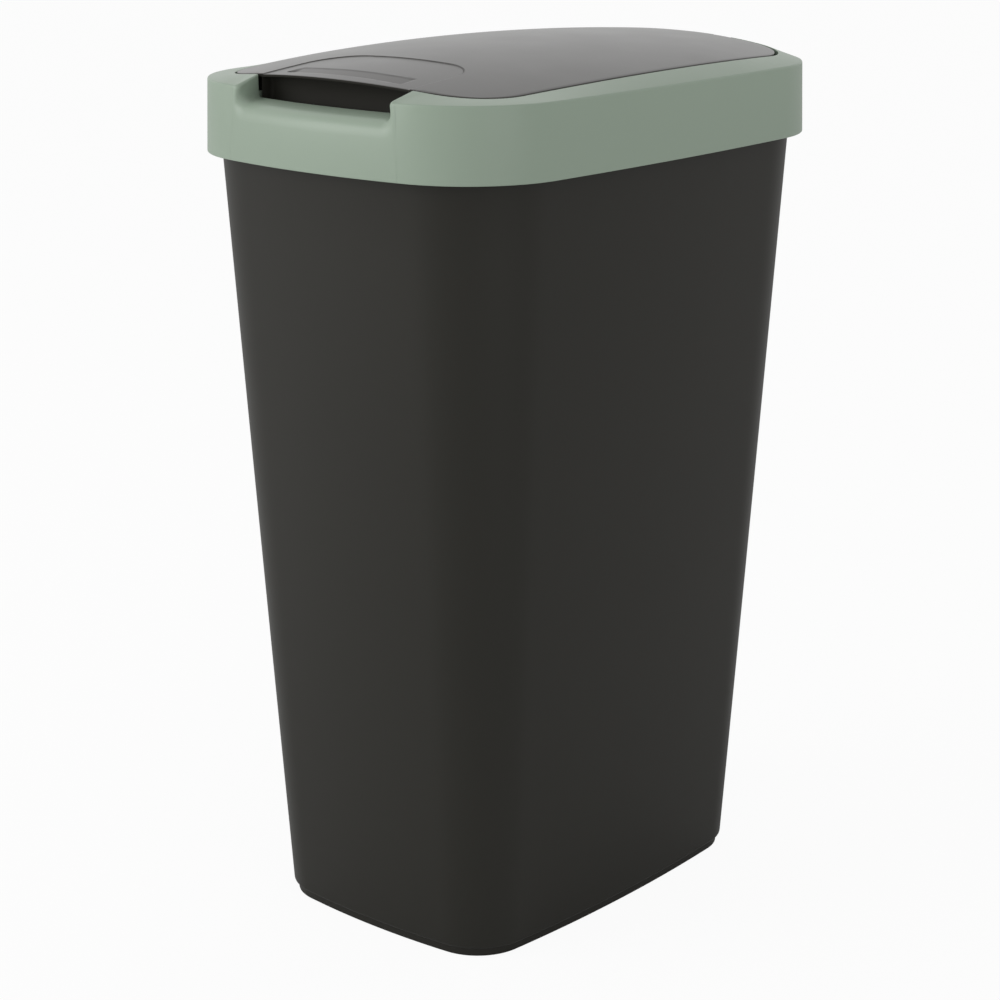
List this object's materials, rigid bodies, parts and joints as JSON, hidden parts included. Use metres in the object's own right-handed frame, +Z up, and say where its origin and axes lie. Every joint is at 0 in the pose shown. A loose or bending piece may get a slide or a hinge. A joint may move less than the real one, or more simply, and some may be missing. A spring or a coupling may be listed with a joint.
{
  "type": "recycling bin",
  "caption": "Tall tapered bin with a rounded-rectangle bucket, a clip-on collar with a finger notch, and a crowned flip lid hinged at the back.",
  "frame": {"origin": "centre of the whole bin's footprint on the surface that its foot ring stands on", "axes": "+Z up, -Y towards the front with the finger notch, +Y towards the hinge, +X to the right seen from the front"},
  "size_m": [0.288, 0.401, 0.6025],
  "materials": {
    "bucket": "satin moulded graphite polypropylene",
    "collar": "satin moulded sage green polypropylene",
    "lid": "smooth moulded graphite polypropylene",
    "pin": "plain moulded pin"
  },
  "bodies": {
    "bucket": {"bin_body": "bucket"},
    "collar": {"collar_frame": "collar", "hinge_pin_left": "pin", "hinge_pin_right": "pin"},
    "lid": {"lid_shell": "lid"}
  },
  "joints": [
    {"name": "collar_lift", "type": "slide", "parent": "bucket", "child": "collar", "axis": [0, 0, 1], "range_m": [0, 0.06]},
    {"name": "lid_hinge", "type": "hinge", "parent": "collar", "child": "lid", "pos_m": [0, 0.188, 0.5842], "axis": [-1, 0, 0], "range_deg": [0, 100]}
  ]
}
